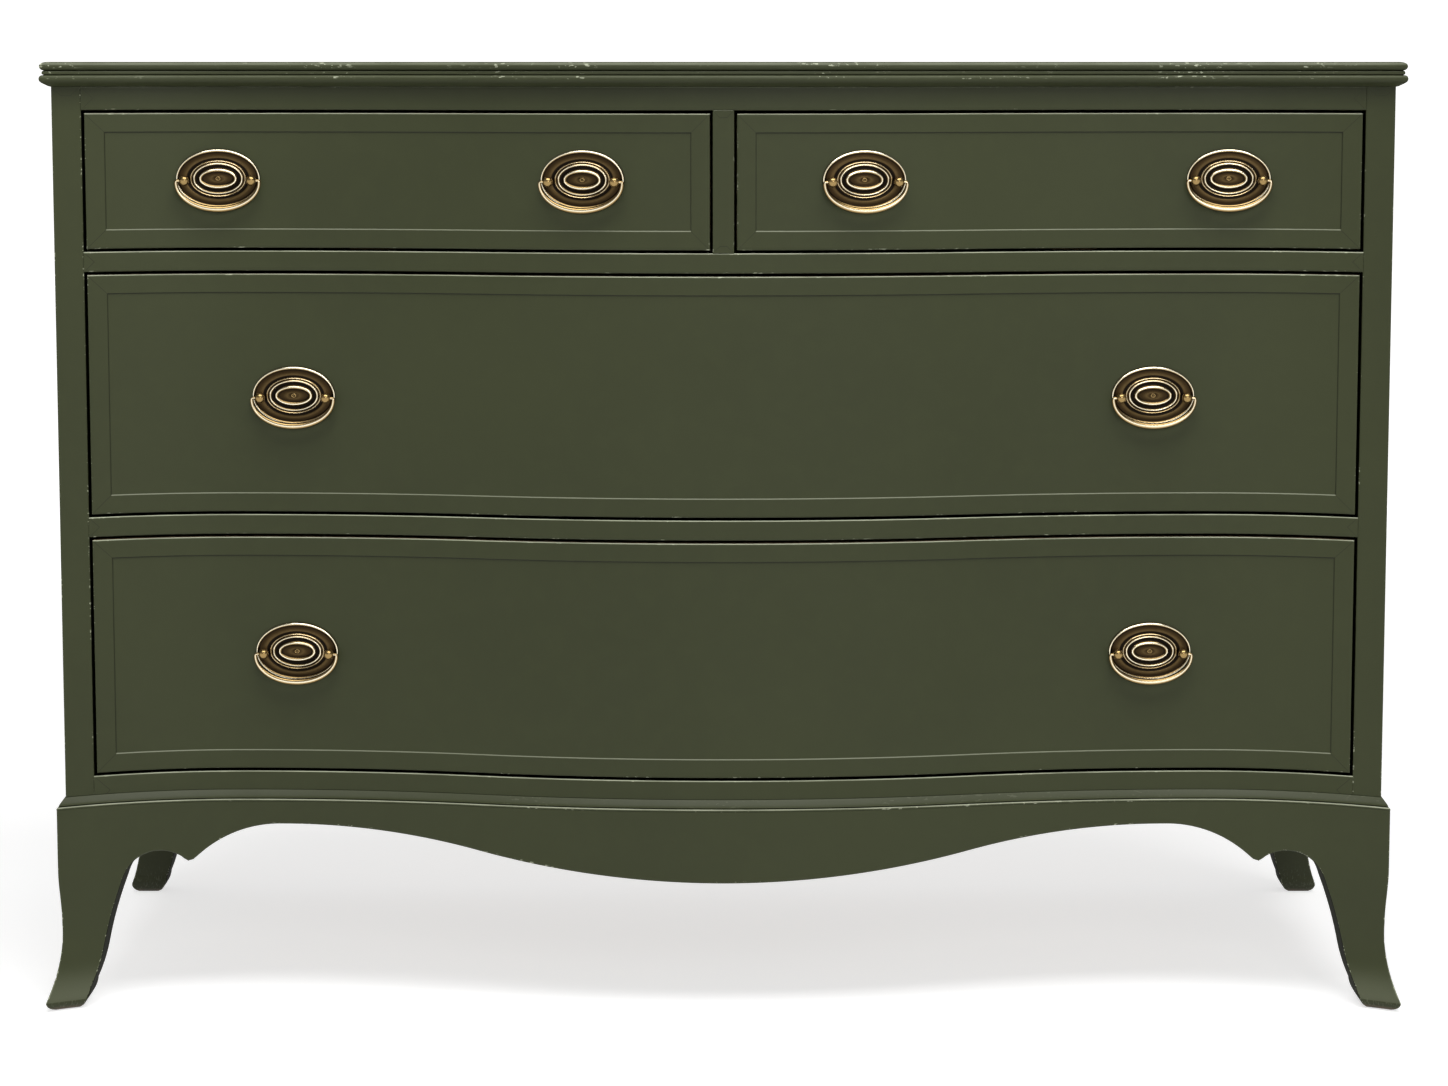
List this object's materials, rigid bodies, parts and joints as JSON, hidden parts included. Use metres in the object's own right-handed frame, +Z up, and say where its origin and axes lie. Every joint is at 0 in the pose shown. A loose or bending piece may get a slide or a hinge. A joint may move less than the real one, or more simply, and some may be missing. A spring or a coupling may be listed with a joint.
{
  "type": "dresser",
  "caption": "Low chest of drawers with a serpentine front, moulded top, scalloped apron, splayed bracket feet and oval bail pulls, painted olive green.",
  "frame": {"origin": "on the floor under the middle of the chest's bounding box", "axes": "+X to the right as seen from the front, -Y out of the drawer fronts, +Z up"},
  "size_m": [1.2338, 0.5491, 0.86],
  "materials": {
    "olive_paint": "satin olive paint, lightly worn at the edges",
    "bare_wood": "unfinished",
    "brass": "antique, dark in the hollows"
  },
  "bodies": {
    "case": {"top_panel": "olive_paint", "side_panel_left": "olive_paint", "side_panel_right": "olive_paint", "corner_post_left": "olive_paint", "corner_post_right": "olive_paint", "top_rail": "olive_paint", "upper_rail": "olive_paint", "lower_rail": "olive_paint", "bottom_rail": "olive_paint", "centre_muntin": "olive_paint", "base_moulding": "olive_paint", "front_apron": "olive_paint", "side_aprons": "olive_paint", "front_feet": "olive_paint", "rear_feet": "olive_paint", "back_panel": "bare_wood", "back_apron": "bare_wood", "back_rails": "bare_wood", "drawer_runners": "bare_wood", "dust_panels": "bare_wood", "glue_blocks": "bare_wood"},
    "drawer_top_left": {"drawer_top_left_front": "olive_paint", "drawer_top_left_side_left": "bare_wood", "drawer_top_left_side_right": "bare_wood", "drawer_top_left_back": "bare_wood", "drawer_top_left_bottom": "bare_wood", "drawer_top_left_pull_plates": "brass", "drawer_top_left_pull_posts": "brass"},
    "bail_top_left_left": {"bail_top_left_left": "brass"},
    "bail_top_left_right": {"bail_top_left_right": "brass"},
    "drawer_top_right": {"drawer_top_right_front": "olive_paint", "drawer_top_right_side_left": "bare_wood", "drawer_top_right_side_right": "bare_wood", "drawer_top_right_back": "bare_wood", "drawer_top_right_bottom": "bare_wood", "drawer_top_right_pull_plates": "brass", "drawer_top_right_pull_posts": "brass"},
    "bail_top_right_left": {"bail_top_right_left": "brass"},
    "bail_top_right_right": {"bail_top_right_right": "brass"},
    "drawer_middle": {"drawer_middle_front": "olive_paint", "drawer_middle_side_left": "bare_wood", "drawer_middle_side_right": "bare_wood", "drawer_middle_back": "bare_wood", "drawer_middle_bottom": "bare_wood", "drawer_middle_pull_plates": "brass", "drawer_middle_pull_posts": "brass"},
    "bail_middle_left": {"bail_middle_left": "brass"},
    "bail_middle_right": {"bail_middle_right": "brass"},
    "drawer_bottom": {"drawer_bottom_front": "olive_paint", "drawer_bottom_side_left": "bare_wood", "drawer_bottom_side_right": "bare_wood", "drawer_bottom_back": "bare_wood", "drawer_bottom_bottom": "bare_wood", "drawer_bottom_pull_plates": "brass", "drawer_bottom_pull_posts": "brass"},
    "bail_bottom_left": {"bail_bottom_left": "brass"},
    "bail_bottom_right": {"bail_bottom_right": "brass"}
  },
  "joints": [
    {"name": "drawer_top_left_slide", "type": "slide", "parent": "case", "child": "drawer_top_left", "axis": [0, -1, 0], "range_m": [0, 0.36]},
    {"name": "bail_top_left_left_hinge", "type": "hinge", "parent": "drawer_top_left", "child": "bail_top_left_left", "pos_m": [-0.45655, -0.21461, 0.7535], "axis": [-0.9986, -0.0522, 0], "range_deg": [-5, 170]},
    {"name": "bail_top_left_right_hinge", "type": "hinge", "parent": "drawer_top_left", "child": "bail_top_left_right", "pos_m": [-0.12716, -0.25678, 0.7535], "axis": [-0.9908, 0.135, 0], "range_deg": [-5, 170]},
    {"name": "drawer_top_right_slide", "type": "slide", "parent": "case", "child": "drawer_top_right", "axis": [0, -1, 0], "range_m": [0, 0.36]},
    {"name": "bail_top_right_left_hinge", "type": "hinge", "parent": "drawer_top_right", "child": "bail_top_right_left", "pos_m": [0.12716, -0.25678, 0.7535], "axis": [-0.9908, -0.135, 0], "range_deg": [-5, 170]},
    {"name": "bail_top_right_right_hinge", "type": "hinge", "parent": "drawer_top_right", "child": "bail_top_right_right", "pos_m": [0.45655, -0.21461, 0.7535], "axis": [-0.9986, 0.0522, 0], "range_deg": [-5, 170]},
    {"name": "drawer_middle_slide", "type": "slide", "parent": "case", "child": "drawer_middle", "axis": [0, -1, 0], "range_m": [0, 0.36]},
    {"name": "bail_middle_left_hinge", "type": "hinge", "parent": "drawer_middle", "child": "bail_middle_left", "pos_m": [-0.39147, -0.21453, 0.55675], "axis": [-0.9985, 0.0546, 0], "range_deg": [-5, 170]},
    {"name": "bail_middle_right_hinge", "type": "hinge", "parent": "drawer_middle", "child": "bail_middle_right", "pos_m": [0.39147, -0.21453, 0.55675], "axis": [-0.9985, -0.0546, 0], "range_deg": [-5, 170]},
    {"name": "drawer_bottom_slide", "type": "slide", "parent": "case", "child": "drawer_bottom", "axis": [0, -1, 0], "range_m": [0, 0.36]},
    {"name": "bail_bottom_left_hinge", "type": "hinge", "parent": "drawer_bottom", "child": "bail_bottom_left", "pos_m": [-0.39147, -0.21453, 0.3215], "axis": [-0.9985, 0.0546, 0], "range_deg": [-5, 170]},
    {"name": "bail_bottom_right_hinge", "type": "hinge", "parent": "drawer_bottom", "child": "bail_bottom_right", "pos_m": [0.39147, -0.21453, 0.3215], "axis": [-0.9985, -0.0546, 0], "range_deg": [-5, 170]}
  ]
}
